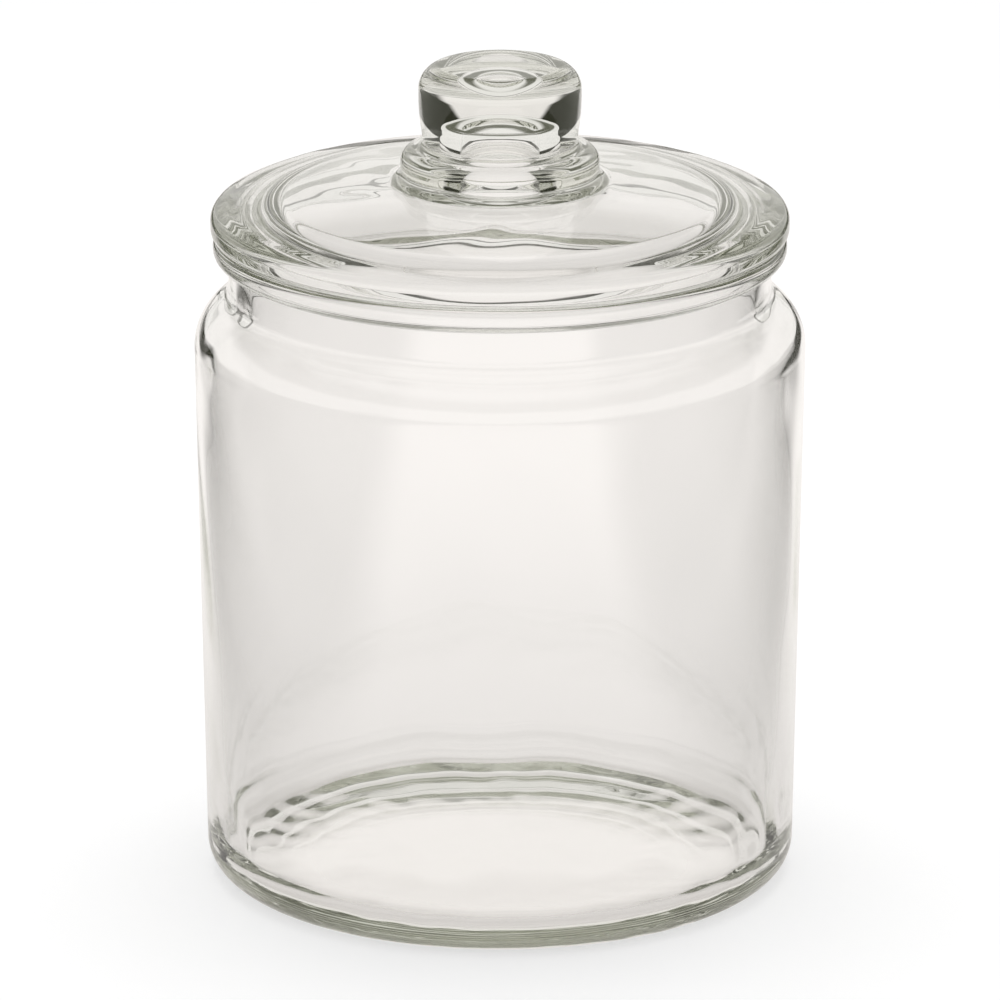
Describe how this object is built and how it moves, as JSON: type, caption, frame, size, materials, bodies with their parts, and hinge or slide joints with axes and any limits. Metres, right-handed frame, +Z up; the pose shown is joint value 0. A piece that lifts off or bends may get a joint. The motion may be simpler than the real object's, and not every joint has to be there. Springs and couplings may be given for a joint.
{
  "type": "glass storage jar",
  "caption": "Round clear glass storage jar with a rounded shoulder, beaded mouth and a lift-off domed glass lid with a knob; stands empty on its base.",
  "frame": {"origin": "centre of the base, on the surface that the jar stands on", "axes": "+Z up along the jar's axis; X and Y are any two level directions of the round jar"},
  "size_m": [0.175, 0.175, 0.2389],
  "materials": {
    "jar_glass": "clear polished glass, faint grey-green in thick parts",
    "lid_glass": "clear polished glass, faint grey-green in thick parts"
  },
  "bodies": {
    "root": {"jar": "jar_glass", "lid": "lid_glass"}
  },
  "joints": []
}
